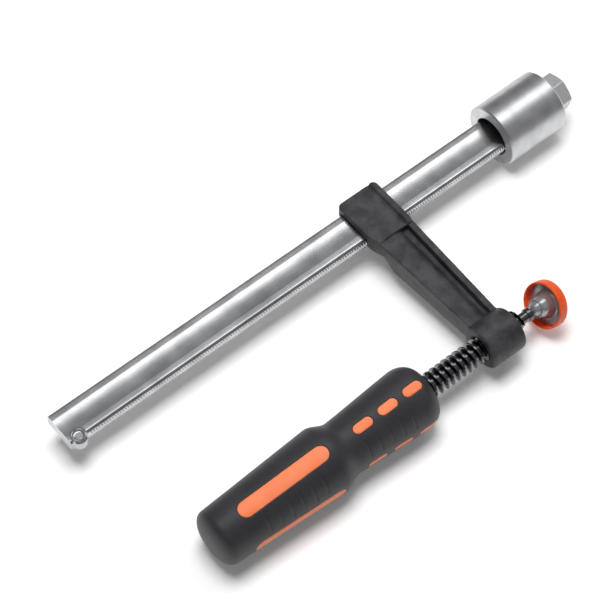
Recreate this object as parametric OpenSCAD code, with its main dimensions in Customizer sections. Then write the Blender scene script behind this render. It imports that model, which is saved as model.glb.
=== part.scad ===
/* [Bar] */
// Width of the grooved bar
bar_w = 16; // [14:0.5:18]
// Thickness of the bar
bar_t = 6; // [5:0.5:7]
// Length of the bar that stands out of the table bush
bar_reach = 226; // [190:1:300]
// Length of the bar inside the bush
bar_seat = 21; // [15:0.5:22]
// Rounding of the bar's four long edges
bar_edge_r = 1.2; // [0.6:0.1:2]
// Width of the hollow groove rolled into each broad face
groove_w = 10.8; // [8:0.2:12]
// Depth of the groove
groove_depth = 0.75; // [0.5:0.05:1.3]
// Diameter of the end stop punched into the bar's edge
stop_d = 7.2; // [5:0.2:9]
// How far the stop stands out past the edge of the bar
stop_bulge = 2.5; // [1.2:0.1:3]
// Distance from the free end to the middle of the stop
stop_inset = 4.4; // [4.2:0.1:9]
// Diameter of the flat dish that the punch left in the stop
stop_dish_d = 5.4; // [3:0.2:6]
// Depth of that dish
stop_dish_depth = 0.4; // [0.2:0.1:0.8]

/* [Table bush] */
// Diameter of the bush, made for a 28 mm table hole
bush_d = 28; // [24:0.5:32]
// Length of the bush
bush_l = 30; // [29:0.5:40]
// Diameter of the bore that takes the bar
bush_bore_d = 18; // [17:0.5:22]
// Depth of the bore
bush_bore_depth = 24; // [23:0.5:25]
// Chamfer on both outer rims of the bush
bush_chamfer = 0.6; // [0.4:0.1:1.5]
// Shank diameter of the hexagon bolt in the end wall
bolt_d = 10; // [8:0.5:12]
// Width across flats of the bolt's head
hex_af = 15; // [13:0.5:17]
// Height of the bolt's head
hex_h = 8.5; // [5:0.5:10]
// Chamfer round the head's outer face
hex_chamfer = 0.4; // [0.3:0.1:1.2]
// Turn of the head about the bush's axis
hex_turn = 13; // [0:1:59]
// Diameter of the grub screw that holds the bar
grub_d = 5; // [4:0.5:5.5]
// Distance of the grub screw from the bush's open face
grub_pos = 12; // [8:0.2:12]
// Angle of the grub screw, from the bar's far edge towards the top
grub_angle = 22; // [0:1:30]
// Depth of the grub screw's head below the surface of the bush
grub_sink = 0.6; // [0.3:0.1:1.5]
// Width across flats of the grub screw's hexagon socket
grub_socket_af = 3; // [1.5:0.5:3]

/* [Sliding arm] */
// Gap between the bush's open face and the front of the arm as drawn
arm_gap = 55.6; // [40:1:120]
// Distance from the axis of the bar to the axis of the spindle
throat = 75.6; // [65:0.5:100]
// Length of the head along the bar
head_l = 20; // [18:0.5:26]
// Thickness of the head
head_t = 14; // [12:0.2:18]
// Wall of the head outside the far edge of the bar
head_far_wall = 2.8; // [2:0.1:5]
// Wall of the head between the bar and the web
head_near_wall = 6.5; // [5:0.5:10]
// Rounding of the head's corners seen from above
head_corner_r = 2.2; // [1:0.2:3]
// Width of the front land that stands out of the head's face
head_land_w = 3; // [2:0.1:5]
// Height of that land
head_land_h = 0.6; // [0.3:0.1:1]
// Width of the arm along the bar, over both flanges, at the head
arm_w = 18.3; // [15:0.1:19]
// How far the arm's front edge draws in on its way to the boss
front_draw = 1.2; // [0:0.1:2]
// How far the arm's back edge draws in on its way to the boss
back_draw = 3.2; // [0:0.1:4]
// Width of the front flange and of the arm's thick back edge
flange_w = 3; // [2.5:0.1:4.5]
// Height of the arm where it leaves the head
root_t = 11.6; // [10:0.2:12.6]
// Height of the arm at the boss
flange_t = 9; // [7.5:0.1:11]
// Thickness of the web at its lowest, in the gutter beside the front flange
web_t = 2.4; // [2:0.2:6]
// Width of the flat bottom of the gutter beside the front flange
gutter_w = 1.4; // [0.8:0.1:2.5]
// Height of the thick back edge above the web beside it
back_lip = 0.1; // [0.05:0.05:1.5]
// Diameter of the spindle boss
boss_d = 19.2; // [17:0.2:24]
// Length of the spindle boss
boss_l = 17; // [14:0.2:20]
// Chamfer on the rims of the boss
boss_chamfer = 0.8; // [0.4:0.1:1.5]
// Length of the cast ramp that carries the web up to the boss
ramp_l = 4; // [3:0.5:15]
// Clearance of the slot round the bar, on each side
slot_gap = 0.3; // [0.2:0.05:0.6]

/* [Spindle] */
// Outer diameter of the spindle's thread
thread_d = 11; // [10:0.5:13]
// Pitch of the thread
thread_pitch = 3; // [2:0.25:4]
// Length of thread between the boss and the handle as drawn
thread_free_l = 29.7; // [20:0.1:45]
// Length of thread that stands out of the front of the boss as drawn
thread_tip_l = 3.6; // [2:0.1:8]
// Diameter of the plain shank inside the handle
shank_d = 9; // [7:0.5:9.5]
// Length of the shank inside the handle
shank_l = 80; // [50:1:95]
// Radial running clearance of round fits
run_gap = 0.05; // [0.02:0.01:0.09]

/* [Handle] */
// Length of the handle
handle_l = 108.4; // [100:0.2:125]
// Largest diameter of the front bulge
front_d = 28; // [26:0.2:31]
// Diameter of the waist
waist_d = 23.8; // [22:0.2:26]
// Largest diameter of the rear grip
rear_d = 29.6; // [27:0.2:32]
// Diameter at the butt, before its rounding
butt_d = 24.6; // [22:0.2:28]
// Distance of the front bulge from the front face
front_pos = 8; // [6:0.5:12]
// Distance of the waist from the front face
waist_pos = 42; // [36:0.5:46]
// Distance of the rear grip's largest diameter from the front face
rear_pos = 51; // [47:0.5:58]
// Diameter of the flat front face
front_face_d = 17; // [14:0.5:20]
// Diameter of the flat butt face
butt_face_d = 12; // [6:0.5:16]
// Axial length of the butt's rounding
butt_round = 6; // [4:0.5:9]
// Thickness of the soft grip over the hard core
grip_wall = 2.6; // [2:0.1:3.5]
// Height by which the hard strips stand out of the soft grip
strip_proud = 0.1; // [0.05:0.05:0.8]
// Number of strips round the handle
strip_count = 4; // [3:1:5]
// Turn of the strips about the spindle, from the top towards the outside
strip_turn = 10; // [0:0.1:45]
// Width of the long strip on the rear grip
strip_w = 7.1; // [5:0.1:9]
// Length of the long strip
strip_l = 43.4; // [35:0.2:50]
// Distance of the long strip's middle from the front face
strip_pos = 73.4; // [72:0.2:80]
// Width of the short strips on the front bulge
dash_w = 4.3; // [3.5:0.1:6]
// Length of each short strip
dash_l = 9.1; // [7:0.1:11]
// Distance between the middles of the short strips
dash_step = 12.5; // [11.5:0.05:13]
// Distance of the first short strip's middle from the front face
dash_pos = 8.5; // [6:0.1:9]
// Number of short strips in a row
dash_count = 3; // [2:1:3]
// Number of finger grooves in each row on the rear grip
rear_groove_count = 6; // [2:1:6]
// Number of finger grooves in each row on the front bulge
front_groove_count = 5; // [2:1:5]
// Distance of the first rear groove from the front face
rear_groove_pos = 60; // [58:0.2:64]
// Distance of the first front groove from the front face
front_groove_pos = 14.7; // [12:0.1:16]
// Distance between neighbouring finger grooves
groove_step = 5.45; // [4.5:0.05:5.6]
// Width of a finger groove at the surface
finger_w = 1.4; // [0.8:0.1:2]
// Depth of a finger groove
finger_depth = 0.5; // [0.3:0.05:0.7]
// Angle that each finger groove takes up round the handle
finger_arc = 44; // [20:1:50]

/* [Swivel pad] */
// Droop of the loose pad on its ball as drawn
pad_droop = 23; // [0:1:27]
// Diameter of the ball at the tip
ball_d = 6.6; // [5.5:0.1:7.5]
// Diameter of the neck behind the ball
neck_d = 4.6; // [4:0.1:5.6]
// Diameter of the throat between the collar and the ball
ball_throat_d = 3.2; // [2.6:0.1:3.4]
// Diameter of the collar behind the socket
collar_d = 5.8; // [5:0.1:7]
// Length of that collar
collar_l = 2.1; // [1:0.1:3]
// Distance from the collar forward to the ball's middle, which leaves room for the pad to swivel
throat_l = 3.7; // [3.6:0.1:6]
// Length of the neck between the thread's end and the collar
neck_l = 4.3; // [3.6:0.1:10]
// Diameter of the stub that runs in the spindle's end
stub_d = 3; // [2:0.5:4]
// Length of that stub
stub_l = 8; // [5:0.5:12]
// Distance from the ball's middle back to the socket's lip
lip_back = 1.5; // [1.3:0.1:1.7]
// Outer diameter of the socket
socket_d = 8.6; // [8.2:0.1:10]
// Diameter of the foot where the socket's cone starts
cone_d = 10.4; // [9.6:0.2:13]
// Height of the cone between the socket and the flange
cone_h = 1.8; // [1.4:0.1:3.6]
// Diameter at which the cone runs out into the flat of the plate
disc_d = 14; // [13:0.2:16]
// Diameter of the plate's flange
plate_d = 18.4; // [16:0.2:22]
// Thickness of the flange
plate_t = 0.8; // [0.8:0.1:2]
// Distance from the ball's middle forward to the back of the flange
plate_ahead = 5.8; // [5.5:0.1:7.5]
// Wire diameter of the retaining ring
ring_wire = 1; // [0.8:0.1:1.4]
// Share of the ring's wire that lies in its groove
ring_sink = 0.5; // [0.3:0.05:0.6]
// Distance of the ring from the socket's lip
ring_pos = 1.3; // [1:0.1:2]
// Outer diameter of the pad's cap
cap_d = 20.2; // [19:0.2:25]
// Length of the cap's rim
cap_l = 4.6; // [4:0.1:8]
// Thickness of the cap's face
cap_face_t = 1; // [0.8:0.1:2]
// Rounding of the cap's outer front edge
cap_edge_r = 0.8; // [0.3:0.1:1]

/* [Hidden] */
$fn = 64;
// Overrun that makes a cut pass clear through a face
over = 1;
// Faces along a smooth stretch of the handle's outline
blend_steps = 8;
round_steps = 6;

// Places along the bar, counted from the middle of the bush
bush_face_x = -bush_l / 2;
bush_end_x = bush_l / 2;
bore_floor_x = bush_face_x + bush_bore_depth;
bar_tip_x = bush_face_x + bar_seat;
bar_free_x = bush_face_x - bar_reach;
bar_l = bar_seat + bar_reach;
groove_r = (pow(groove_w / 2, 2) + pow(groove_depth, 2)) / (2 * groove_depth);
stop_x = bar_free_x + stop_inset;
stop_y = -(bar_w / 2 + stop_bulge - stop_d / 2);
edge_mid = [bar_w / 2 - bar_edge_r, bar_t / 2 - bar_edge_r];
grub_tip_r = edge_mid * [cos(grub_angle), sin(grub_angle)] + bar_edge_r;

// Places of the arm
arm_front_x = bush_face_x - arm_gap;
arm_back_x = arm_front_x - arm_w;
head_back_x = arm_front_x - head_l;
head_far_y = bar_w / 2 + head_far_wall;
head_near_y = -bar_w / 2 - head_near_wall;
boss_back_x = arm_front_x - boss_l;
boss_r = boss_d / 2;
arm_run = throat + head_near_y;
root_z = root_t / 2;

// Edges of the tapered arm at a place along it
function front_at(y) = arm_front_x - front_draw * (head_near_y - y) / arm_run;
function back_at(y) = arm_back_x + back_draw * (head_near_y - y) / arm_run;
function arm_plan(y0, y1, wall) = [
    [front_at(y0) - wall, y0],
    [front_at(y1) - wall, y1],
    [back_at(y1) + wall, y1],
    [back_at(y0) + wall, y0]
];

// Places along the spindle
thread_front_x = arm_front_x + thread_tip_l;
handle_front_x = boss_back_x - thread_free_l;
thread_r = thread_d / 2;
neck_front_x = thread_front_x + neck_l;
ball_x = neck_front_x + collar_l + throat_l;
ball_r = ball_d / 2;
socket_r = ball_r + run_gap;

// Places along the pad's own axis, counted from the ball's middle
cap_front = plate_ahead + plate_t + cap_face_t;
cap_rim = cap_front - cap_l;

// Outline of the handle: radius at a distance from its front face
function ease(u) = (1 - cos(180 * u)) / 2;
function front_arc(k) =
    [front_pos * (1 - cos(90 * k / round_steps)),
     front_face_d / 2 + (front_d - front_face_d) / 2 * sin(90 * k / round_steps)];
function butt_arc(k) =
    [handle_l - butt_round + butt_round * sin(90 * k / round_steps),
     butt_face_d / 2 + (butt_d - butt_face_d) / 2 * cos(90 * k / round_steps)];
function waist_rise(k) =
    [waist_pos + (rear_pos - waist_pos) * k / blend_steps,
     waist_d / 2 + (rear_d - waist_d) / 2 * ease(k / blend_steps)];
grip_outline = concat(
    [for (k = [0 : round_steps]) front_arc(k)],
    [for (k = [0 : blend_steps]) waist_rise(k)],
    [for (k = [0 : round_steps]) butt_arc(k)]
);

// Turns a shape drawn along Z so that it points along the bar
module along_x() {
    rotate([0, 90, 0]) children();
}

// Moves a shape from the bar's axis to the spindle's axis
module on_spindle(x) {
    translate([x, -throat, 0]) along_x() children();
}

// Moves a shape from the bar's axis to the drooping axis of the pad
module on_pad(u) {
    translate([ball_x, -throat, 0]) rotate([0, pad_droop, 0]) translate([u, 0, 0]) along_x() children();
}

// Rounded rectangle without faceted corners
module round_rect(size, r) {
    square([size[0] - 2 * r, size[1]], center = true);
    square([size[0], size[1] - 2 * r], center = true);
    for (sx = [-1, 1], sy = [-1, 1])
        translate([sx * (size[0] / 2 - r), sy * (size[1] / 2 - r)]) circle(r);
}

// Strip outline with round ends, long side along X
module long_hole(length, width) {
    square([length - width, width], center = true);
    for (s = [-1, 1])
        translate([s * (length - width) / 2, 0]) circle(width / 2);
}

// Section of the bar: rounded edges and a hollow groove in both faces
module bar_section() {
    difference() {
        round_rect([bar_t, bar_w], bar_edge_r);
        for (s = [-1, 1])
            translate([s * (bar_t / 2 - groove_depth + groove_r), 0]) circle(groove_r, $fn = 128);
    }
}

module bar() {
    color("lightgray") difference() {
        union() {
            translate([bar_free_x, 0, 0]) along_x() linear_extrude(bar_l) bar_section();
            translate([stop_x, stop_y, -bar_t / 2]) cylinder(d = stop_d, h = bar_t);
        }
        for (s = [-1, 1])
            translate([stop_x, stop_y, s * bar_t / 2])
                cylinder(d = stop_dish_d, h = 2 * stop_dish_depth, center = true);
    }
}

module table_bush() {
    inner_r = bush_bore_d / 2;
    color("silver") difference() {
        translate([bush_face_x, 0, 0]) along_x() rotate_extrude() polygon([
            [0, 0],
            [bush_d / 2 - bush_chamfer, 0],
            [bush_d / 2, bush_chamfer],
            [bush_d / 2, bush_l - bush_chamfer],
            [bush_d / 2 - bush_chamfer, bush_l],
            [0, bush_l]
        ]);
        translate([bush_face_x - over, 0, 0]) along_x() cylinder(r = inner_r, h = bush_bore_depth + over);
        translate([bore_floor_x - over, 0, 0]) along_x()
            cylinder(r = bolt_d / 2 + run_gap, h = bush_l - bush_bore_depth + 2 * over);
        rotate([grub_angle, 0, 0]) translate([bush_face_x + grub_pos, 0, 0]) rotate([-90, 0, 0])
            cylinder(r = grub_d / 2 + run_gap, h = bush_d / 2 + over);
    }
}

// Hexagon head bolt screwed through the end wall until it bears on the bar
module bush_bolt() {
    head_r = hex_af / sqrt(3);
    crown_r = hex_af / 2 - hex_chamfer / 2;
    color("darkgray") union() {
        translate([bar_tip_x, 0, 0]) along_x() cylinder(d = bolt_d, h = bush_end_x - bar_tip_x + over);
        translate([bush_end_x, 0, 0]) along_x() intersection() {
            rotate([0, 0, hex_turn]) cylinder(r = head_r, h = hex_h, $fn = 6);
            rotate_extrude() polygon([
                [0, 0],
                [head_r, 0],
                [head_r, hex_h - hex_chamfer],
                [crown_r, hex_h],
                [0, hex_h]
            ]);
        }
    }
}

module grub_screw() {
    head_at = bush_d / 2 - grub_sink;
    socket_depth = grub_d / 2;
    color("dimgray") rotate([grub_angle, 0, 0]) translate([bush_face_x + grub_pos, 0, 0]) rotate([-90, 0, 0])
        difference() {
            translate([0, 0, grub_tip_r]) cylinder(d = grub_d, h = head_at - grub_tip_r);
            translate([0, 0, head_at - socket_depth])
                cylinder(r = grub_socket_af / sqrt(3), h = socket_depth + over, $fn = 6);
        }
}

// Outline of the arm seen along the bar: it grows from the boss to the head
module arm_side() {
    translate([head_back_x, 0, 0]) rotate([90, 0, 90]) linear_extrude(head_l) polygon([
        [head_near_y + head_corner_r, -root_z],
        [head_near_y, -root_z],
        [-throat, -flange_t / 2],
        [-throat, flange_t / 2],
        [head_near_y, root_z],
        [head_near_y + head_corner_r, root_z]
    ]);
}

// Ramp on both sides of the web that carries it up to the boss
module boss_ramp() {
    foot_y = -throat + boss_r + ramp_l;
    crest_y = -throat + boss_r / 2;
    translate([arm_back_x, 0, 0]) rotate([90, 0, 90]) linear_extrude(arm_w) polygon([
        [foot_y, -web_t / 2],
        [crest_y, -flange_t / 2],
        [crest_y, flange_t / 2],
        [foot_y, web_t / 2]
    ]);
}

// Space above the web: a gutter along the front flange, from which the web rises to the back edge
module web_space() {
    deep_x = front_at(-throat) - flange_w - gutter_w;
    high_x = back_at(-throat) + flange_w;
    lift = (flange_t - web_t) / 2 - back_lip;
    growth = atan((root_z - flange_t / 2) / arm_run);
    translate([0, -throat, 0]) rotate([growth, 0, 0]) translate([0, arm_run + over, 0]) rotate([90, 0, 0])
        linear_extrude(arm_run + 2 * over) polygon(concat(
            [[arm_back_x, head_t], [arm_front_x, head_t], [arm_front_x, web_t / 2]],
            [for (k = [0 : blend_steps])
                [deep_x - (deep_x - high_x) * k / blend_steps, web_t / 2 + lift * (1 - pow(1 - k / blend_steps, 3))]],
            [[arm_back_x, web_t / 2 + lift]]
        ));
}

// Tapered beam between the head and the boss, with a gutter in both faces
module arm_beam() {
    root_y = head_near_y + head_corner_r;
    intersection() {
        translate([0, 0, -head_t / 2]) linear_extrude(head_t) polygon(arm_plan(root_y, -throat, 0));
        difference() {
            arm_side();
            difference() {
                intersection() {
                    linear_extrude(2 * head_t + over, center = true)
                        polygon(arm_plan(head_near_y, -throat, flange_w));
                    union() {
                        web_space();
                        mirror([0, 0, 1]) web_space();
                    }
                }
                boss_ramp();
            }
        }
    }
}

// Block round the bar, with a lower face behind its front land and a back that slopes in to the arm
module arm_head() {
    head_w = head_far_y - head_near_y;
    slope_y = -bar_w / 2 - 2 * slot_gap;
    difference() {
        translate([head_back_x + head_l / 2, (head_far_y + head_near_y) / 2, -head_t / 2])
            linear_extrude(head_t) round_rect([head_l, head_w], head_corner_r);
        for (s = [-1, 1])
            translate([head_back_x - head_land_w, head_near_y - over, s * head_t / 2 - head_land_h])
                cube([head_l, head_w + 2 * over, 2 * head_land_h]);
        linear_extrude(head_t + 2 * over, center = true) polygon([
            [head_back_x, slope_y],
            [arm_back_x, head_near_y],
            [arm_back_x, head_near_y - over],
            [head_back_x - over, head_near_y - over],
            [head_back_x - over, slope_y]
        ]);
    }
}

module sliding_arm() {
    slot_w = bar_w + 2 * slot_gap;
    slot_t = bar_t + 2 * slot_gap;
    color("#3c3c3e") difference() {
        union() {
            arm_head();
            arm_beam();
            on_spindle(boss_back_x) rotate_extrude() polygon([
                [0, 0],
                [boss_r - boss_chamfer, 0],
                [boss_r, boss_chamfer],
                [boss_r, boss_l - boss_chamfer],
                [boss_r - boss_chamfer, boss_l],
                [0, boss_l]
            ]);
        }
        translate([head_back_x - over, 0, 0]) along_x()
            linear_extrude(head_l + 2 * over) square([slot_t, slot_w], center = true);
        on_spindle(boss_back_x - over) cylinder(r = thread_r + run_gap, h = boss_l + 2 * over);
    }
}

module spindle() {
    tip_chamfer = thread_pitch / 4;
    color("#1e1e20") difference() {
        union() {
            on_spindle(handle_front_x) rotate_extrude() polygon([
                [0, 0],
                [thread_r, 0],
                [thread_r, thread_front_x - handle_front_x - tip_chamfer],
                [thread_r - tip_chamfer, thread_front_x - handle_front_x],
                [0, thread_front_x - handle_front_x]
            ]);
            on_spindle(handle_front_x - shank_l) cylinder(d = shank_d, h = shank_l + over);
        }
        on_spindle(thread_front_x - stub_l - over) cylinder(r = stub_d / 2 + run_gap, h = stub_l + 2 * over);
    }
}

// Solid of revolution under the handle's outline, changed in radius by extra
module handle_turned(extra) {
    on_spindle(handle_front_x) mirror([0, 0, 1]) rotate_extrude() polygon(concat(
        [[0, 0]],
        [for (p = grip_outline) [p[1] + extra, p[0]]],
        [[0, handle_l]]
    ));
}

// Hard core below the soft grip, open to its front face
module core_turned() {
    on_spindle(handle_front_x) mirror([0, 0, 1]) rotate_extrude() polygon(concat(
        [[0, 0], [front_face_d / 2 - grip_wall, 0]],
        [for (p = grip_outline) if (p[0] > 0 && p[0] < handle_l - butt_round) [p[1] - grip_wall, p[0]]],
        [[butt_d / 2 - grip_wall, handle_l - butt_round], [0, handle_l - butt_round]]
    ));
}

// Straight-sided blanks of all strips, from inside the core to outside the grip
module strip_blanks() {
    for (k = [0 : strip_count - 1])
        translate([handle_front_x, -throat, 0]) rotate([strip_turn + k * 360 / strip_count, 0, 0])
            translate([0, 0, shank_d / 2 + over]) linear_extrude(rear_d / 2) {
                translate([-strip_pos, 0]) long_hole(strip_l, strip_w);
                for (j = [0 : dash_count - 1])
                    translate([-dash_pos - j * dash_step, 0]) long_hole(dash_l, dash_w);
            }
}

module handle_core() {
    color("#ff7a3c") difference() {
        union() {
            core_turned();
            intersection() {
                handle_turned(strip_proud);
                strip_blanks();
            }
        }
        on_spindle(handle_front_x - shank_l) cylinder(d = shank_d, h = shank_l + over);
    }
}

// One finger groove: a short arc of a ring, sunk into the grip at a distance from its front face
module finger_groove(s) {
    cutter_r = (pow(finger_w / 2, 2) + pow(finger_depth, 2)) / (2 * finger_depth);
    ring_r = lookup(s, grip_outline) - finger_depth + cutter_r;
    translate([-s, 0, 0]) along_x() rotate([0, 0, 180 - finger_arc / 2])
        rotate_extrude(angle = finger_arc) translate([ring_r, 0]) circle(cutter_r);
}

// Rows of finger grooves, halfway between the strips on two opposite sides
module finger_grooves() {
    for (k = [0 : 2 : strip_count - 1])
        translate([handle_front_x, -throat, 0]) rotate([strip_turn + (k + 0.5) * 360 / strip_count, 0, 0]) {
            for (j = [0 : rear_groove_count - 1])
                finger_groove(rear_groove_pos + j * groove_step);
            for (j = [0 : front_groove_count - 1])
                finger_groove(front_groove_pos + j * groove_step);
        }
}

// Soft grip with windows for the strips and rows of finger grooves
module handle_grip() {
    color("#2c2c2e") difference() {
        handle_turned(0);
        core_turned();
        strip_blanks();
        finger_grooves();
    }
}

// Neck, collar and ball in one turned piece, with a stub that runs in the spindle
module ball_tip() {
    color("#1e1e20") union() {
        on_spindle(thread_front_x - stub_l) cylinder(d = stub_d, h = stub_l + over);
        on_spindle(thread_front_x + run_gap) cylinder(d = neck_d, h = neck_l - run_gap);
        on_spindle(neck_front_x) cylinder(d = collar_d, h = collar_l);
        on_spindle(neck_front_x) cylinder(d = ball_throat_d, h = ball_x - neck_front_x);
        on_spindle(ball_x) sphere(d = ball_d);
    }
}

// Wire ring that keeps the socket closed round the ball
module pad_ring() {
    ring_r = socket_d / 2 + ring_wire * (0.5 - ring_sink);
    color("gainsboro") on_pad(ring_pos - lip_back)
        rotate_extrude() translate([ring_r, 0]) circle(d = ring_wire);
}

// Pressed plate: socket round the ball, rounded shoulder, hollow cone and flat flange
module pad_plate() {
    lip_r = sqrt(pow(socket_r, 2) - pow(lip_back, 2));
    hub_r = socket_d / 2;
    foot_r = cone_d / 2;
    disc_r = disc_d / 2;
    rim_r = plate_d / 2;
    flare_u = plate_ahead - cone_h;
    color("silver") difference() {
        on_pad(0) rotate_extrude() polygon(concat(
            [[0, plate_ahead + plate_t], [0, -lip_back], [hub_r - lip_back / 4, -lip_back]],
            [[hub_r, -lip_back * 3 / 4], [hub_r, flare_u - (foot_r - hub_r)]],
            [for (k = [1 : round_steps])
                [hub_r + (foot_r - hub_r) * sin(90 * k / round_steps),
                 flare_u - (foot_r - hub_r) * cos(90 * k / round_steps)]],
            [for (k = [1 : round_steps])
                [disc_r - (disc_r - foot_r) * cos(90 * k / round_steps),
                 flare_u + cone_h * sin(90 * k / round_steps)]],
            [[rim_r, plate_ahead], [rim_r, plate_ahead + plate_t]]
        ));
        on_pad(0) sphere(r = socket_r);
        on_pad(-lip_back - over) cylinder(r = lip_r, h = lip_back + over);
        pad_ring();
    }
}

// Moulded cup that snaps over the flange
module pad_cap() {
    color("#ff6a2a") difference() {
        on_pad(cap_rim) rotate_extrude() union() {
            square([cap_d / 2, cap_l - cap_edge_r]);
            square([cap_d / 2 - cap_edge_r, cap_l]);
            translate([cap_d / 2 - cap_edge_r, cap_l - cap_edge_r]) circle(cap_edge_r);
        }
        on_pad(cap_rim - over) cylinder(d = plate_d, h = cap_l - cap_face_t + over);
    }
}

bar();
table_bush();
bush_bolt();
grub_screw();
sliding_arm();
spindle();
handle_core();
handle_grip();
ball_tip();
pad_plate();
pad_ring();
pad_cap();
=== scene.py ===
"""Looks of the welding table clamp: bar, bush, cast arm, threaded spindle, two-part handle and swivel pad."""
import math

import bmesh
import bpy
import numpy as np
from mathutils import Matrix, Vector


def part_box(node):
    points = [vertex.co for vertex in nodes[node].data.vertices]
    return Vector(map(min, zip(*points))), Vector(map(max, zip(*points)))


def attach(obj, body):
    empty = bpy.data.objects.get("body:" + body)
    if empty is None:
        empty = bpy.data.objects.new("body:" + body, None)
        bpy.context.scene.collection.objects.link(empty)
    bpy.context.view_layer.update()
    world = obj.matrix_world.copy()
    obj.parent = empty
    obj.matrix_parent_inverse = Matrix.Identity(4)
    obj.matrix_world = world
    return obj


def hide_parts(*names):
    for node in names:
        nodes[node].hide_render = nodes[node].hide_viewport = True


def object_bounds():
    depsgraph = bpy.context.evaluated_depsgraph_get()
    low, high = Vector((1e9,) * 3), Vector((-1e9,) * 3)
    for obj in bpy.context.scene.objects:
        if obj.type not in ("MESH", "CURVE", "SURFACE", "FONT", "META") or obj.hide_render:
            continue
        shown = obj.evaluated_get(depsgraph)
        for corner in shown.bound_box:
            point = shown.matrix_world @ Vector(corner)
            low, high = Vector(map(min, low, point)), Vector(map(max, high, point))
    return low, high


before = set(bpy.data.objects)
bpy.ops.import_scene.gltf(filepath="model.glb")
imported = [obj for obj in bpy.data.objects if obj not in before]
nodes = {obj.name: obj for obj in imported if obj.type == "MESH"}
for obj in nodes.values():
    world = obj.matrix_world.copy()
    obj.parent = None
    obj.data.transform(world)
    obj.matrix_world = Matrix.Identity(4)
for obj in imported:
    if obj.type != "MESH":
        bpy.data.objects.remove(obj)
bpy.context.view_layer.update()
MM = 0.001


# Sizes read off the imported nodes, in mm

def span(node):
    """Lowest and highest corner of a node's box."""
    lo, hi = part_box(node)
    return np.array(lo) / MM, np.array(hi) / MM


bar_lo, bar_hi = span("bar")
arm_lo, arm_hi = span("sliding_arm")
thread_lo, thread_hi = span("spindle")
grip_lo, grip_hi = span("handle_grip")
tip_lo, tip_hi = span("ball_tip")

BUSH_OPEN_X = span("table_bush")[0][0]
SPINDLE_Y = (grip_lo[1] + grip_hi[1]) / 2
HANDLE_FRONT = grip_hi[0]
HANDLE_L = grip_hi[0] - grip_lo[0]
BALL_R = 3.3
BALL_X = tip_hi[0] - BALL_R
PAD_DROOP = math.radians(23)


# Helpers for shapes

# Radius to which the end of a turned body is drawn in, in mm
AXIS_R = 0.02
# Distance in metres below which points are welded
WELD = 1e-7
# Share of a side that the fillet at one of its corners may use up
FILLET_SHARE = 0.48


def ramp(value, low, high):
    """Share that grows from 0 at low to 1 at high in a straight line."""
    return np.clip((value - low) / (high - low), 0, 1)


def smooth_step(value, low, high):
    """Share that grows from 0 at low to 1 at high and is eased at both ends."""
    t = ramp(value, low, high)
    return t * t * (3 - 2 * t)


def wrapped(angle):
    """The same angle, between minus half a turn and half a turn."""
    return (angle + math.pi) % (2 * math.pi) - math.pi


def round_axis(x, axis_y, r, angle):
    """Points at a radius and an angle about a line along the bar."""
    return np.stack(np.broadcast_arrays(x, axis_y + r * np.cos(angle), r * np.sin(angle)), -1)


def shell(rings):
    """Vertices and faces of a closed body through rings of equal count, with both ends capped."""
    rings = np.asarray(rings, float)
    count, around = rings.shape[:2]
    faces = []
    for i in range(count - 1):
        a, b = i * around, (i + 1) * around
        for j in range(around):
            k = (j + 1) % around
            faces.append((a + j, a + k, b + k, b + j))
    last = (count - 1) * around
    faces.append(tuple(range(around - 1, -1, -1)))
    faces.append(tuple(range(last, last + around)))
    return rings.reshape(-1, 3), faces


def mesh_of(name, *shells):
    """One mesh in metres from several bodies in mm, with outward normals."""
    verts, faces, start = [], [], 0
    for v, f in shells:
        verts.append(v)
        faces += [tuple(i + start for i in face) for face in f]
        start += len(v)
    mesh = bpy.data.meshes.new(name)
    mesh.from_pydata((np.vstack(verts) * MM).tolist(), [], faces)
    skin = bmesh.new()
    skin.from_mesh(mesh)
    bmesh.ops.remove_doubles(skin, verts=skin.verts, dist=WELD)
    bmesh.ops.dissolve_degenerate(skin, edges=skin.edges, dist=WELD)
    bmesh.ops.recalc_face_normals(skin, faces=skin.faces)
    skin.to_mesh(mesh)
    skin.free()
    return mesh


def place(name, mesh, body, replaced, sharp):
    """Puts a mesh into the scene, shades it with edges over an angle sharp, and lets it ride on its body."""
    for polygon in mesh.polygons:
        polygon.use_smooth = True
    mesh.set_sharp_from_angle(angle=math.radians(sharp))
    piece = bpy.data.objects.new(name, mesh)
    bpy.context.scene.collection.objects.link(piece)
    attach(piece, body)
    if replaced:
        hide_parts(*replaced)
    return piece


def filleted(corners, steps=5):
    """Points of an outline given as (x, r, fillet radius), with each corner rounded."""
    points = []
    for i, (x, r, fillet) in enumerate(corners):
        here = np.array((x, r), float)
        if fillet <= 0 or i in (0, len(corners) - 1):
            points.append(here)
            continue
        to_last = np.array(corners[i - 1][:2], float) - here
        to_next = np.array(corners[i + 1][:2], float) - here
        last_l, next_l = np.linalg.norm(to_last), np.linalg.norm(to_next)
        half = math.acos(max(-1, min(1, to_last @ to_next / (last_l * next_l)))) / 2
        cut = min(fillet / math.tan(half), FILLET_SHARE * last_l, FILLET_SHARE * next_l)
        p, q = here + to_last / last_l * cut, here + to_next / next_l * cut
        for t in np.linspace(0, 1, steps + 1):
            points.append((1 - t) ** 2 * p + 2 * t * (1 - t) * here + t * t * q)
    return np.array(points)


def turned(outline, axis_y, around):
    """Closed body turned about a line along the bar, from an outline of (x, r)."""
    angle = np.linspace(0, 2 * math.pi, around, endpoint=False)
    return shell([round_axis(x, axis_y, r, angle) for x, r in outline])


def drooped(body):
    """Moves a body drawn along the bar from the ball's middle onto the pad's drooping axis."""
    verts, faces = body
    c, d = math.cos(PAD_DROOP), math.sin(PAD_DROOP)
    x, y, z = verts.T
    return np.stack([BALL_X + c * x + d * z, SPINDLE_Y + y, c * z - d * x], -1), faces


# Bar: the middle of its section lies on y = z = 0

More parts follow.
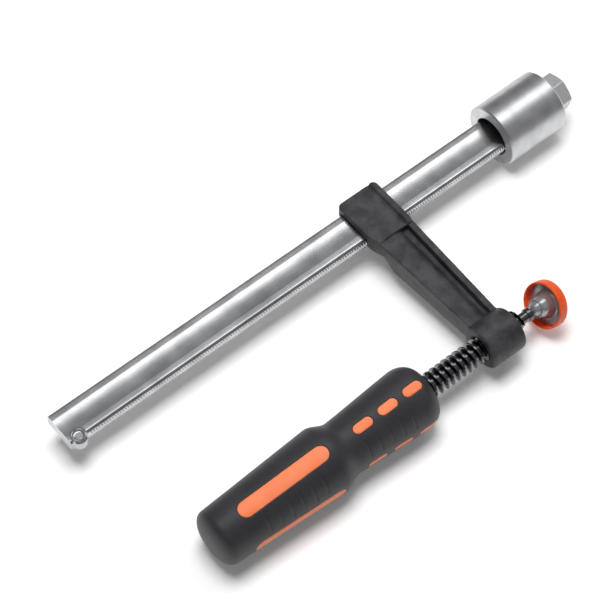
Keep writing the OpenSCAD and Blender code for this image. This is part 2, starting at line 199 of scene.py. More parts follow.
BAR_HALF_W = bar_hi[1]
BAR_HALF_T = bar_hi[2]
EDGE_R = 1.2
EDGE_Z = BAR_HALF_T - EDGE_R
LAND_Y = -BAR_HALF_W + 2 * EDGE_R
HOLLOW_HALF_W = 4.6
HOLLOW_DEPTH = 0.26
# Near edge: a slightly crowned flat, and a broken corner above and below it
FLAT_CROWN = 0.12
BREAK_W = 0.84
BREAK_H = 1.0
BREAK_LOW_R = 0.15
BREAK_HIGH_R = 0.9
# Serrations across that flat, whose half width is a share of their pitch
TOOTH_PITCH = 1.3
TOOTH_DEPTH = 0.55
TOOTH_HALF = 0.26
TOOTH_SLANT = 0.5
TEETH_START = bar_lo[0] + 9
# Where a serration starts and is full, as distances behind the near edge and past the flat's end
TOOTH_RUN_Y = (0.25, 0.05)
TOOTH_RUN_Z = (0.1, -0.2)
# Punched stop at the free end: a bulge of the near edge, with a raised rim round a dish in both faces
STOP_R = 3.6
STOP_X = bar_lo[0] + 4.4
STOP_Y = bar_lo[1] + STOP_R
STOP_RIM_R = 2.75
STOP_RIM_W = 0.42
STOP_RIM_H = 0.32
STOP_DISH_R = 2.3
STOP_DISH_EASE = 0.12
STOP_DISH_DEPTH = 0.45
# Where the rim and the dish start and are full, above the edge's rounding, and how far out they reach
STOP_RUN_Z = (-0.2, 0.6)
STOP_REACH = 5.0
# Stretch of the bar that the stop takes up, and the start of its seat inside the bush
STOP_END = bar_lo[0] + 10
SEAT_START = BUSH_OPEN_X + 2


def bar_outline():
    """Half of the bar's section as (y, z), from the near edge's middle over the top to the far edge's."""
    near_points, hollow_points, far_points, wall_points, fillet_steps = 7, 29, 5, 4, 8
    flat = [
        (-BAR_HALF_W - FLAT_CROWN * (1 - (z / EDGE_Z) ** 2), z)
        for z in np.linspace(0, EDGE_Z, near_points)
    ]
    broken = filleted([
        (-BAR_HALF_W, EDGE_Z, 0),
        (-BAR_HALF_W, BAR_HALF_T - BREAK_H, BREAK_LOW_R),
        (-BAR_HALF_W + BREAK_W, BAR_HALF_T, BREAK_HIGH_R),
        (LAND_Y, BAR_HALF_T, 0),
    ], fillet_steps)[1:]
    near_land = [(y, BAR_HALF_T) for y in np.linspace(LAND_Y, -HOLLOW_HALF_W, near_points)[1:]]
    hollow = [
        (y, BAR_HALF_T - HOLLOW_DEPTH * (1 - (y / HOLLOW_HALF_W) ** 2))
        for y in np.linspace(-HOLLOW_HALF_W, HOLLOW_HALF_W, hollow_points)[1:]
    ]
    far_land = [(y, BAR_HALF_T) for y in np.linspace(HOLLOW_HALF_W, BAR_HALF_W - EDGE_R, far_points)[1:]]
    far_edge = [
        (BAR_HALF_W - EDGE_R * (1 - math.cos(t)), BAR_HALF_T - EDGE_R * (1 - math.sin(t)))
        for t in np.linspace(math.pi / 2, 0, near_points)[1:]
    ]
    far_flat = [(BAR_HALF_W, z) for z in np.linspace(EDGE_Z, 0, wall_points)[1:]]
    return np.vstack([flat, broken, near_land, hollow, far_land, far_edge, far_flat])


def serrated(x, y, z):
    """Section at x with the near flat cut back where a serration crosses it."""
    on_flat = ramp(y + BAR_HALF_W, *TOOTH_RUN_Y) * ramp(np.abs(z) - EDGE_Z, *TOOTH_RUN_Z)
    from_cut = np.abs((x + TOOTH_SLANT * np.abs(z)) / TOOTH_PITCH % 1 - 0.5)
    return y + on_flat * TOOTH_DEPTH * ramp(from_cut, TOOTH_HALF, 0), z


def stopped(x, y, z):
    """Section at x with the stop's bulge, rim and dish."""
    half_chord = math.sqrt(max(STOP_R ** 2 - (x - STOP_X) ** 2, 0))
    bulge = max(half_chord - STOP_Y - BAR_HALF_W, 0)
    y = y - bulge * np.maximum((-HOLLOW_HALF_W - y) / (BAR_HALF_W - HOLLOW_HALF_W), 0)
    away = np.hypot(x - STOP_X, y - STOP_Y)
    rim = STOP_RIM_H * np.exp(-((away - STOP_RIM_R) / STOP_RIM_W) ** 2)
    dish = STOP_DISH_DEPTH * (1 - np.tanh((away - STOP_DISH_R) / (2 * STOP_DISH_EASE))) / 2
    on_face = ramp(np.abs(z) - EDGE_Z, *STOP_RUN_Z) * (away < STOP_REACH)
    return y, z + np.sign(z) * on_face * (rim - dish)


def bar_piece():
    """Drawn bar: hollow faces, serrated near edge and the punched stop at the free end."""
    upper = bar_outline()
    lower = upper[-2:0:-1] * (1, -1)
    section = np.vstack([upper, lower])
    stop_step, tooth_steps, seat_steps = 0.2, 8, 12
    stations = np.unique(np.concatenate([
        np.arange(bar_lo[0], STOP_END, stop_step),
        np.arange(STOP_END, SEAT_START, TOOTH_PITCH / tooth_steps),
        np.linspace(SEAT_START, bar_hi[0], seat_steps),
    ]))
    rings = []
    for x in stations:
        y, z = section.T
        if x > TEETH_START:
            y, z = serrated(x, y, z)
        y, z = stopped(x, y, z)
        rings.append(np.stack(np.broadcast_arrays(x, y, z), -1))
    return place("bar", mesh_of("bar", shell(rings)), "bar", ["bar"], sharp=50)


# Spindle

SPINDLE_FACETS = 72
THREAD_R = thread_hi[2]
THREAD_PITCH = 3.0
THREAD_DEPTH = 2.1
# One coil, as shares of the pitch and of the depth
THREAD_PROFILE = ((0.0, 0.12), (0.05, 0.0), (0.26, 0.0), (0.31, 0.12), (0.46, 1.0), (0.85, 1.0))
# Coils past either end, which are pressed flat into the end faces
SPARE_COILS = 2
END_CHAMFER = 0.8
BORE_R = 2.6
BORE_END = tip_lo[0] - 0.5
# Thread and shank meet inside the handle
THREAD_BACK = HANDLE_FRONT - 2
SHANK_FRONT = HANDLE_FRONT - 1
SHANK_R = 4.5
SHANK_ROUND = 0.6
SHANK_FACETS = 48


def thread_skin(rings):
    """Vertices and faces of a helical skin: past a full turn the next point lies one coil further on."""
    count, around = rings.shape[:2]
    step = len(THREAD_PROFILE)
    corners = []
    for i in range(count - 1):
        for j in range(around - 1):
            corners.append(((i, j), (i, j + 1), (i + 1, j + 1), (i + 1, j)))
        if i + step < count:
            after = min(i + step + 1, count - 1)
            corners.append(((i, around - 1), (i + step, 0), (after, 0), (i + 1, around - 1)))
    faces = [tuple(dict.fromkeys(i * around + j for i, j in face)) for face in corners]
    return rings.reshape(-1, 3), faces


def spindle_piece():
    """Trapezoidal thread as one helical skin on a plain shank, with a bore in its front end for the tip."""
    x0, x1 = THREAD_BACK, thread_hi[0]
    turn = np.linspace(0, 1, SPINDLE_FACETS, endpoint=False)
    first = x0 - SPARE_COILS * THREAD_PITCH
    coils = int((x1 - x0) / THREAD_PITCH) + 2 * SPARE_COILS + 1
    rings = []
    for coil in range(coils):
        # Past either end all points lie on the root circle, those of the first coil on the axis
        # and those of the last coil on the mouth of the bore.
        past = {0: 0.0, coils - 1: BORE_R}.get(coil, THREAD_R - THREAD_DEPTH)
        for part, depth in THREAD_PROFILE:
            x = first + (coil + part + turn) * THREAD_PITCH
            chamfer = END_CHAMFER * ramp(x, x1 - END_CHAMFER, x1)
            r = THREAD_R - np.maximum(THREAD_DEPTH * depth, chamfer)
            r = np.where((x > x0) & (x < x1), r, past)
            rings.append(round_axis(np.clip(x, x0, x1), SPINDLE_Y, r, 2 * math.pi * turn))
    skin = thread_skin(np.array(rings))
    bore = turned([(x1, BORE_R), (BORE_END, BORE_R), (BORE_END, AXIS_R)], SPINDLE_Y, SPINDLE_FACETS)
    # The bore's first cap goes, so that its mouth joins the end of the thread.
    del bore[1][-2]
    shank = turned(filleted([
        (thread_lo[0], AXIS_R, 0), (thread_lo[0], SHANK_R, SHANK_ROUND),
        (SHANK_FRONT, SHANK_R, 0), (SHANK_FRONT, AXIS_R, 0),
    ]), SPINDLE_Y, SHANK_FACETS)
    mesh = mesh_of("spindle", skin, bore, shank)
    return place("spindle", mesh, "spindle", ["spindle"], sharp=30)


# Handle: places along it are counted from its front face

GRIP_FACETS = 440
FRONT_FACE_R = 8.5
FRONT_R = 14.0
WAIST_R = 11.9
REAR_R = grip_hi[2]
BUTT_R = 12.3
FRONT_POS = 8.0
WAIST_POS = 42.0
REAR_POS = 51.0
BUTT_ROUND = 6.0
BUTT_POS = HANDLE_L - BUTT_ROUND
# Share of the straight taper in the line from the front bulge to the waist
TAPER_SHARE = 0.75
# Power of the butt's rounding: 1 is a quarter of an ellipse, and less is squarer
BUTT_POWER = 0.77
BUTT_END_R = 0.05
# Strips as (middle, length, width): the long one on the rear grip and the short ones on the front bulge
STRIP_ROWS = 4
STRIP_TURN = math.radians(10)
STRIPS = [(73.4, 43.4, 7.1)] + [(8.5 + 12.5 * k, 9.1, 4.3) for k in range(3)]
STRIP_SUNK = 0.06
# Rolled edge of a strip as (inset from its outline, height against the grip), and where its top starts
STRIP_EDGE = [(0.0, -1.2), (0.0, -0.3), (0.05, -0.16), (0.18, -0.09)]
STRIP_TOP_INSET = 0.45
# Window for a strip, and where its wall starts and is full, outside the strip's outline
WINDOW_DEPTH = 0.5
WINDOW_WALL = (0.25, -0.15)
FINGER_PITCH = 5.45
FINGER_GROOVES = [60.0 + FINGER_PITCH * k for k in range(6)] + [14.7 + FINGER_PITCH * k for k in range(5)]
FINGER_HALF_W = 0.75
FINGER_DEPTH = 0.35
FINGER_HALF_ARC = math.radians(22)
FINGER_FULL_ARC = math.radians(14)
CORE_BELOW = 2.6
CORE_FACETS = 64


def handle_radius(s):
    """Radius of the soft grip at a distance from the handle's front face, as far as the butt's rounding."""
    s = np.asarray(s, float)
    nose = np.sqrt(1 - (1 - ramp(s, 0, FRONT_POS)) ** 2)
    taper = TAPER_SHARE * ramp(s, FRONT_POS, WAIST_POS)
    taper = taper + (1 - TAPER_SHARE) * smooth_step(s, FRONT_POS, WAIST_POS)
    rise = (1 - np.cos(math.pi * ramp(s, WAIST_POS, REAR_POS))) / 2
    rear = ramp(s, REAR_POS, BUTT_POS)
    r = FRONT_FACE_R + (FRONT_R - FRONT_FACE_R) * nose + (WAIST_R - FRONT_R) * taper
    return r + (REAR_R - WAIST_R) * rise + (BUTT_R - REAR_R) * rear


def handle_ring(s, r, angle):
    """One ring of points round the handle at a distance from its front face."""
    return round_axis(HANDLE_FRONT - s, SPINDLE_Y, r, angle)


def strip_distance(s, arc, length, width):
    """Signed distance from the outline of a strip with round ends, below zero inside it."""
    return np.hypot(np.maximum(np.abs(s) - (length - width) / 2, 0), arc) - width / 2


def grip_piece():
    """Soft grip: smooth body with a sunk window for each strip and two rows of finger grooves."""
    face_rings, nose_rings, butt_rings, step = 8, 40, 28, 0.25
    angle = np.linspace(0, 2 * math.pi, GRIP_FACETS, endpoint=False)
    face = FRONT_FACE_R * np.linspace(0.02, 1, face_rings)[:-1]
    rings = [handle_ring(0, r, angle) for r in face]
    stations = np.concatenate([
        FRONT_POS * (1 - np.cos(np.linspace(0, math.pi / 2, nose_rings))),
        np.arange(FRONT_POS + step, BUTT_POS, step),
    ])
    for s in stations:
        base = float(handle_radius(s))
        r = np.full(GRIP_FACETS, base)
        for row in range(STRIP_ROWS):
            off = wrapped(angle - STRIP_TURN - row * 2 * math.pi / STRIP_ROWS)
            for middle, length, width in STRIPS:
                away = strip_distance(s - middle, off * base, length, width)
                r -= WINDOW_DEPTH * smooth_step(away, *WINDOW_WALL)
            # Every second gap between the strips holds a row of finger grooves.
            side = np.abs(wrapped(off - math.pi / STRIP_ROWS))
            across = ramp(side, FINGER_HALF_ARC, FINGER_FULL_ARC) * (row % 2)
            for middle in FINGER_GROOVES:
                away = min(abs(s - middle) / FINGER_HALF_W, 1)
                r -= FINGER_DEPTH * across * (1 - away ** 2)
        rings.append(handle_ring(s, r, angle))
    for t in np.linspace(0, math.pi / 2, butt_rings):
        s = BUTT_POS + BUTT_ROUND * math.sin(t) ** BUTT_POWER
        rings.append(handle_ring(s, max(BUTT_R * math.cos(t) ** BUTT_POWER, BUTT_END_R), angle))
    mesh = mesh_of("handle_grip", shell(rings))
    return place("handle_grip", mesh, "spindle", ["handle_grip"], sharp=60)


def strip_shell(middle, length, width, turn):
    """One strip with rolled edges that follows the grip and reaches down into it."""
    bend_steps, steps_per_mm, top_rings, ridge = 17, 3, 6, 0.05
    straight = (length - width) / 2
    bend = np.radians(np.linspace(-90, 90, bend_steps))
    run = np.linspace(straight, -straight, max(4, int(straight * steps_per_mm)))[1:-1]
    ends = np.full(len(bend), straight)
    centre = np.concatenate([ends, run, -ends, -run])
    ahead = np.concatenate([np.cos(bend), 0 * run, -np.cos(bend), 0 * run])
    aside = np.concatenate([np.sin(bend), 0 * run + 1, -np.sin(bend), 0 * run - 1])
    top = [(inset, -STRIP_SUNK) for inset in np.linspace(STRIP_TOP_INSET, width / 2 - ridge, top_rings)]
    rings = []
    for inset, height in STRIP_EDGE + top:
        s = middle + centre + (width / 2 - inset) * ahead
        base = handle_radius(s)
        angle = turn + (width / 2 - inset) * aside / base
        rings.append(handle_ring(s, base + height, angle))
    return shell(rings)


def core_piece():
    """Hard core: its strips show through the grip's windows, a hair below the grip."""
    core_front, core_rings = 0.5, 60
    places = np.linspace(core_front, BUTT_POS, core_rings)
    inner = np.stack([HANDLE_FRONT - places, handle_radius(places) - CORE_BELOW], -1)
    shells = [turned(inner, SPINDLE_Y, CORE_FACETS)]
    for row in range(STRIP_ROWS):
        for middle, length, width in STRIPS:
            turn = STRIP_TURN + row * 2 * math.pi / STRIP_ROWS
            shells.append(strip_shell(middle, length, width, turn))
    mesh = mesh_of("handle_core", *shells)
    return place("handle_core", mesh, "spindle", ["handle_core"], sharp=60)


# Sliding arm, and the bolt in the bush

# Line pressed along the foot of the land on the arm's head, and where it starts and is full along each axis
HEAD_LAND_W = 3.0
LINE_X = arm_hi[0] - HEAD_LAND_W - 0.3
LINE_W = 0.6
LINE_DEPTH = 0.6
LINE_Y = (-14.5, -13.0)
LINE_Z = (5.5, 6.1)
# How far the head's lower back corner is drawn in, and where this starts and is full along each axis
CORNER_DRAW = 2.4
CORNER_X = (arm_lo[0] + 8.6, arm_lo[0] + 3.6)
CORNER_Y = (-25.0, -12.5)
CORNER_Z = (1.0, -6.0)


def melted(node, voxel, rounds):
    """Copy of a solid's mesh in fine even faces, with its edges worn round."""
    rough = bpy.data.objects.new(node + "_blank", nodes[node].data.copy())
    bpy.context.scene.collection.objects.link(rough)
    remesh = rough.modifiers.new("skin", "REMESH")
    remesh.mode = "VOXEL"
    remesh.voxel_size = voxel * MM
    soften = rough.modifiers.new("soften", "SMOOTH")
    soften.factor = 0.5
    soften.iterations = rounds
    bpy.context.view_layer.update()
    done = bpy.data.meshes.new_from_object(rough.evaluated_get(bpy.context.evaluated_depsgraph_get()))
    bpy.data.objects.remove(rough)
    done.name = node
    done.materials.clear()
    return done


def sculpt_head(mesh):
    """Presses the line at the foot of the head's land, and draws in the head's lower back corner."""
    points = np.empty(len(mesh.vertices) * 3)
    mesh.vertices.foreach_get("co", points)
    x, y, z = (points.reshape(-1, 3) / MM).T
    on_head = smooth_step(np.abs(z), *LINE_Z) * smooth_step(y, *LINE_Y)
    z = z - np.sign(z) * on_head * LINE_DEPTH * np.exp(-((x - LINE_X) / LINE_W) ** 2)
    x = x + CORNER_DRAW * smooth_step(z, *CORNER_Z) * smooth_step(y, *CORNER_Y) * smooth_step(x, *CORNER_X)
    mesh.vertices.foreach_set("co", (np.stack([x, y, z], -1) * MM).ravel())
    mesh.update()


def arm_piece():
    """Cast arm: the solid's own shape with its edges melted round, as sand casting leaves them."""
    cast = melted("sliding_arm", voxel=0.26, rounds=18)
    sculpt_head(cast)
    return place("sliding_arm_cast", cast, "arm", ["sliding_arm"], sharp=60)


def bolt_piece():
    """Hexagon head bolt with worn corners."""
    worn = melted("bush_bolt", voxel=0.2, rounds=4)
    return place("hexagon_bolt", worn, "bar", ["bush_bolt"], sharp=60)


# Swivel pad and ball tip: places along their axis are counted from the ball's middle

PAD_FACETS = 120
# Back skin of the plate from its lip to its flange as (place, radius), before it is smoothed
PLATE_HUB = [
    (-1.75, 2.95), (-1.3, 3.2), (-0.6, 3.4), (0.1, 3.6), (0.7, 3.95), (1.3, 4.35), (2.2, 4.65), (3.4, 4.9),
    (4.6, 5.15), (5.3, 5.4), (5.7, 5.75), (5.8, 6.3),
]
PLATE_FRONT = 6.6


def plate_piece():
    """Pressed plate: lip round the ball, round shoulder, hub wall, fillet and flat flange in one skin."""
    lip, recess, recess_r, mouth_r, lip_r = -1.9, -0.7, 2.6, 2.75, 2.85
    flange, foot_r = PLATE_HUB[-1]
    rim_r, rim_round = 9.2, 0.25
    hub_rings, smooth_rounds = 60, 6
    at = np.linspace(0, len(PLATE_HUB) - 1, hub_rings)
    hub = np.stack([np.interp(at, range(len(PLATE_HUB)), values) for values in zip(*PLATE_HUB)], -1)
    for _ in range(smooth_rounds):
        hub[1:-1] = (hub[:-2] + 2 * hub[1:-1] + hub[2:]) / 4
    mouth = [(recess, AXIS_R), (recess, recess_r), (lip, mouth_r), (lip, lip_r)]
    edge = filleted([
        (flange, foot_r, 0), (flange, rim_r, rim_round),
        (PLATE_FRONT, rim_r, rim_round), (PLATE_FRONT, AXIS_R, 0),
    ])
    body = drooped(turned(np.vstack([mouth, hub, edge[1:]]), 0.0, PAD_FACETS))
    return place("pad_plate", mesh_of("pad_plate", body), "pad", ["pad_plate"], sharp=40)


def ring_piece():
    """Wire ring sprung over the plate's lip."""
    at, middle_r, wire_r, wire_facets = -0.75, 3.5, 0.42, 20
    turn = np.linspace(0, 2 * math.pi, PAD_FACETS, endpoint=False)[:, None]
    bend = np.linspace(0, 2 * math.pi, wire_facets, endpoint=False)[None, :]
    verts = round_axis(at + wire_r * np.sin(bend), 0.0, middle_r + wire_r * np.cos(bend), turn).reshape(-1, 3)
    faces = []
    for i in range(PAD_FACETS):
        a, b = i * wire_facets, (i + 1) % PAD_FACETS * wire_facets
        for j in range(wire_facets):
            k = (j + 1) % wire_facets
            faces.append((a + j, b + j, b + k, a + k))
    mesh = mesh_of("pad_ring", drooped((verts, faces)))
    return place("pad_ring", mesh, "pad", ["pad_ring"], sharp=60)


def cap_piece():
    """Moulded cup over the plate's flange, with a rounded rim."""
    rim, front, inner_r, outer_r = 3.0, 7.6, 9.25, 10.1
    outline = filleted([
        (PLATE_FRONT, AXIS_R, 0), (PLATE_FRONT, inner_r, 0.2), (rim, inner_r, 0.35), (rim, outer_r, 0.35),
        (front, outer_r, 0.8), (front, AXIS_R, 0),
    ])
    body = drooped(turned(outline, 0.0, PAD_FACETS))
    return place("pad_cap", mesh_of("pad_cap", body), "pad", ["pad_cap"], sharp=50)


def tip_piece():
    """Neck and collar at the front of the spindle, drawn in to a throat behind the ball."""
    stub_back, neck_back, collar_back, collar_front = tip_lo[0] - BALL_X, -10.1, -6.0, -4.0
    throat_back, throat_front = -3.3, -1.5
    stub_r, neck_r, collar_r, throat_r = 1.5, 2.4, 2.95, 1.6
    outline = filleted([
        (stub_back, AXIS_R, 0), (stub_back, stub_r, 0.3), (neck_back, stub_r, 0.1), (neck_back, neck_r, 0.2),
        (collar_back, neck_r, 0.2), (collar_back, collar_r, 0.3), (collar_front, collar_r, 0.5),
        (throat_back, throat_r, 0.4), (throat_front, throat_r, 0), (throat_front, AXIS_R, 0),
    ])
    outline[:, 0] += BALL_X
    body = turned(outline, SPINDLE_Y, SPINDLE_FACETS)
    return place("ball_tip", mesh_of("ball_tip", body), "tip", ["ball_tip"], sharp=40)


def ball_piece():
    """Ground ball on the tip, held by the plate's lip."""
    pole, ball_rings = 0.01, 48
    turn = np.linspace(pole, math.pi - pole, ball_rings)
    outline = np.stack([BALL_X - BALL_R * np.cos(turn), BALL_R * np.sin(turn)], -1)
    body = turned(outline, SPINDLE_Y, SPINDLE_FACETS)
    return place("tip_ball", mesh_of("tip_ball", body), "tip", [], sharp=60)


# Materials

def linear(code):
    """An sRGB hex colour as linear red, green, blue and alpha."""
    values = [int(code[i:i + 2], 16) / 255 for i in (1, 3, 5)]
    return tuple(v / 12.92 if v <= 0.04045 else ((v + 0.055) / 1.055) ** 2.4 for v in values) + (1.0,)


def grains(size):
    """Scale of a pattern whose grains have a size in mm."""
    return 1 / (size * MM)


def feed(tree, node, sources):
    """Links a node's inputs, by name or number, to the outputs that feed them."""
    for key, output in sources.items():
        tree.links.new(output, node.inputs[key])


def add(tree, kind, sources=None, stops=(), **settings):
    """Adds one node: what feeds it, a ramp's stops as (place, colour), and its properties or input values."""
    made = tree.nodes.new(kind)
    for key, value in settings.items():
        if hasattr(made, key):
            setattr(made, key, value)
        else:
            made.inputs[key.replace("_", " ")].default_value = value
    for index, (position, colour) in enumerate(stops):
        made.color_ramp.elements[index].position = position
        made.color_ramp.elements[index].color = linear(colour)
    feed(tree, made, sources or {})
    return made


def surface(name, **constants):
    """A new material with the constants of its main shader set, ready for its own texture nodes."""
    material = bpy.data.materials.new(name)
    material.use_nodes = True
    tree = material.node_tree
    shader = tree.nodes["Principled BSDF"]
    for key, value in constants.items():
        shader.inputs[key.replace("_", " ")].default_value = value
    return material, tree, shader


def drawn_steel():
    # Cold drawn, plated steel bar: satin metal with faint lines along its length and cloudy patches.
    # The real lines are about 0.1 mm apart and are drawn 0.5 mm apart so that they show.
    material, tree, shader = surface("drawn_plated_steel", Metallic=1.0)
    where = add(tree, "ShaderNodeTexCoord").outputs["Object"]
    along = add(tree, "ShaderNodeMapping", {"Vector": where}, Scale=(grains(50), grains(0.5), grains(0.5)))
    lines = add(tree, "ShaderNodeTexNoise", {"Vector": along.outputs["Vector"]}, Scale=1.0, Detail=3.0)
    clouds = add(tree, "ShaderNodeTexNoise", {"Vector": where}, Scale=grains(9.09), Detail=1.0)
    tint = add(tree, "ShaderNodeValToRGB", {"Fac": clouds.outputs["Fac"]},
               stops=((0.3, "#B4B5B7"), (0.7, "#CDCED0")))
    rough = add(tree, "ShaderNodeMapRange", {"Value": lines.outputs["Fac"]}, To_Min=0.2, To_Max=0.24)
    feed(tree, shader, {"Base Color": tint.outputs["Color"], "Roughness": rough.outputs["Result"]})
    return material


def turned_steel():
    # Turned, plated steel bush: rings of the lathe tool round it and cloudy patches.
    # The real rings are about 0.1 mm apart and are drawn 0.6 mm apart so that they show.
    material, tree, shader = surface("turned_plated_steel", Metallic=1.0)
    where = add(tree, "ShaderNodeTexCoord").outputs["Object"]
    across = add(tree, "ShaderNodeMapping", {"Vector": where}, Scale=(grains(0.625), grains(25), grains(25)))
    rings = add(tree, "ShaderNodeTexNoise", {"Vector": across.outputs["Vector"]}, Scale=1.0, Detail=2.0)
    clouds = add(tree, "ShaderNodeTexNoise", {"Vector": where}, Scale=grains(6.25), Detail=3.0)
    tint = add(tree, "ShaderNodeValToRGB", {"Fac": clouds.outputs["Fac"]},
               stops=((0.3, "#BCBDBF"), (0.7, "#D2D3D5")))
    rough = add(tree, "ShaderNodeMapRange", {"Value": rings.outputs["Fac"]}, To_Min=0.33, To_Max=0.41)
    bump = add(tree, "ShaderNodeBump", {"Height": rings.outputs["Fac"]}, Strength=0.04, Distance=0.1 * MM)
    feed(tree, shader, {
        "Base Color": tint.outputs["Color"],
        "Roughness": rough.outputs["Result"],
        "Normal": bump.outputs["Normal"],
    })
    return material


def forged_steel():
    # Forged, plated bolt head: duller than the bush, with a slightly uneven skin of 1.1 mm grains.
    material, tree, shader = surface("forged_plated_steel", Metallic=0.75, Roughness=0.5)
    where = add(tree, "ShaderNodeTexCoord").outputs["Object"]
    grain = add(tree, "ShaderNodeTexNoise", {"Vector": where}, Scale=grains(1.11), Detail=4.0)
    tint = add(tree, "ShaderNodeValToRGB", {"Fac": grain.outputs["Fac"]},
               stops=((0.3, "#C8C9CA"), (0.7, "#DADBDC")))
    bump = add(tree, "ShaderNodeBump", {"Height": grain.outputs["Fac"]}, Strength=0.1, Distance=0.2 * MM)
    feed(tree, shader, {"Base Color": tint.outputs["Color"], "Normal": bump.outputs["Normal"]})
    return material


def black_oxide_steel():
    # Blackened, oiled steel: dark metal under a glossy film of oil in 2 mm patches, bright on the crests.
    material, tree, shader = surface(
        "black_oxide_steel", Metallic=1.0, Coat_Weight=1.0, Coat_Roughness=0.08)
    where = add(tree, "ShaderNodeTexCoord").outputs["Object"]
    film = add(tree, "ShaderNodeTexNoise", {"Vector": where}, Scale=grains(2.0), Detail=3.0)
    tint = add(tree, "ShaderNodeValToRGB", {"Fac": film.outputs["Fac"]},
               stops=((0.3, "#4C4C50"), (0.7, "#606064")))
    rough = add(tree, "ShaderNodeMapRange", {"Value": film.outputs["Fac"]}, To_Min=0.14, To_Max=0.22)
    feed(tree, shader, {"Base Color": tint.outputs["Color"], "Roughness": rough.outputs["Result"]})
    return material


def coated_casting():
    # Black lacquer on sand-cast iron: matt skin with a 0.8 mm sand grain and 7 mm swells below it.
    # The swells are four times as high as the grain.
    material, tree, shader = surface("black_lacquered_casting")
    where = add(tree, "ShaderNodeTexCoord").outputs["Object"]
    grain = add(tree, "ShaderNodeTexNoise", {"Vector": where}, Scale=grains(0.8), Detail=4.0)
    swell = add(tree, "ShaderNodeTexNoise", {"Vector": where}, Scale=grains(6.67), Detail=5.0)
    tint = add(tree, "ShaderNodeValToRGB", {"Fac": swell.outputs["Fac"]},
               stops=((0.38, "#29292C"), (0.62, "#414145")))
    layers = {0: swell.outputs["Fac"], 2: grain.outputs["Fac"]}
    height = add(tree, "ShaderNodeMath", layers, operation="MULTIPLY_ADD")
    height.inputs[1].default_value = 4.0
    bump = add(tree, "ShaderNodeBump", {"Height": height.outputs["Value"]}, Strength=0.35, Distance=0.6 * MM)
    rough = add(tree, "ShaderNodeMapRange", {"Value": grain.outputs["Fac"]}, To_Min=0.42, To_Max=0.6)
    feed(tree, shader, {
        "Base Color": tint.outputs["Color"],
        "Roughness": rough.outputs["Result"],
        "Normal": bump.outputs["Normal"],
    })
    return material


def soft_grip():
    # Thermoplastic rubber, moulded with a spark-eroded grain: dark, with a broad soft sheen and faint wear.
    # The real grain is about 0.1 mm wide and is drawn 0.6 mm wide so that it shows.
    material, tree, shader = surface("moulded_soft_rubber")
    where = add(tree, "ShaderNodeTexCoord").outputs["Object"]
    grain = add(tree, "ShaderNodeTexNoise", {"Vector": where}, Scale=grains(0.625), Detail=3.0)
    wear = add(tree, "ShaderNodeTexNoise", {"Vector": where}, Scale=grains(11.1), Detail=3.0)
    tint = add(tree, "ShaderNodeValToRGB", {"Fac": wear.outputs["Fac"]},
               stops=((0.3, "#2A2A2D"), (0.7, "#333337")))
    rough = add(tree, "ShaderNodeMapRange", {"Value": wear.outputs["Fac"]}, To_Min=0.42, To_Max=0.54)
    bump = add(tree, "ShaderNodeBump", {"Height": grain.outputs["Fac"]}, Strength=0.08, Distance=0.2 * MM)
    feed(tree, shader, {
        "Base Color": tint.outputs["Color"],
        "Roughness": rough.outputs["Result"],
        "Normal": bump.outputs["Normal"],
    })
    return material


def hard_orange():
    # Injection moulded polypropylene: opaque salmon orange with a satin skin of 0.7 mm grains.
    material, tree, shader = surface("moulded_orange_polypropylene", Roughness=0.45)
    where = add(tree, "ShaderNodeTexCoord").outputs["Object"]
    grain = add(tree, "ShaderNodeTexNoise", {"Vector": where}, Scale=grains(0.667), Detail=3.0)
    clouds = add(tree, "ShaderNodeTexNoise", {"Vector": where}, Scale=grains(8.33), Detail=2.0)
    tint = add(tree, "ShaderNodeValToRGB", {"Fac": clouds.outputs["Fac"]},
               stops=((0.3, "#FF8553"), (0.7, "#FF8E5E")))
    bump = add(tree, "ShaderNodeBump", {"Height": grain.outputs["Fac"]}, Strength=0.06, Distance=0.2 * MM)
    feed(tree, shader, {"Base Color": tint.outputs["Color"], "Normal": bump.outputs["Normal"]})
    return material


def cap_orange():
    # Injection moulded polyethylene cap: deeper orange, waxy and a little see-through at its rim.
    material, tree, shader = surface(
        "moulded_orange_polyethylene", Roughness=0.38, Subsurface_Weight=0.7, Subsurface_Scale=2 * MM)
    where = add(tree, "ShaderNodeTexCoord").outputs["Object"]
    clouds = add(tree, "ShaderNodeTexNoise", {"Vector": where}, Scale=grains(3.33), Detail=2.0)
    tint = add(tree, "ShaderNodeValToRGB", {"Fac": clouds.outputs["Fac"]},
               stops=((0.3, "#FC5414"), (0.7, "#FF6226")))
    feed(tree, shader, {"Base Color": tint.outputs["Color"]})
    return material


def bright_plate():
    # Plated pressing: satin metal, partly dulled, with a faint haze from the press tool in 1.7 mm patches.
    material, tree, shader = surface(
        "bright_plated_pressing", Base_Color=linear("#A8A9AB"), Metallic=0.65)
    where = add(tree, "ShaderNodeTexCoord").outputs["Object"]
    haze = add(tree, "ShaderNodeTexNoise", {"Vector": where}, Scale=grains(1.67), Detail=3.0)
    rough = add(tree, "ShaderNodeMapRange", {"Value": haze.outputs["Fac"]}, To_Min=0.16, To_Max=0.28)
    feed(tree, shader, {"Roughness": rough.outputs["Result"]})
    return material


def dress(piece, material):
    """Gives a piece one material all over."""
    piece.data.materials.clear()
    piece.data.materials.append(material)


# The dressed clamp

steel_bar, steel_bush, steel_bolt = drawn_steel(), turned_steel(), forged_steel()
black_steel, casting, rubber = black_oxide_steel(), coated_casting(), soft_grip()
orange, cap_plastic, plated = hard_orange(), cap_orange(), bright_plate()

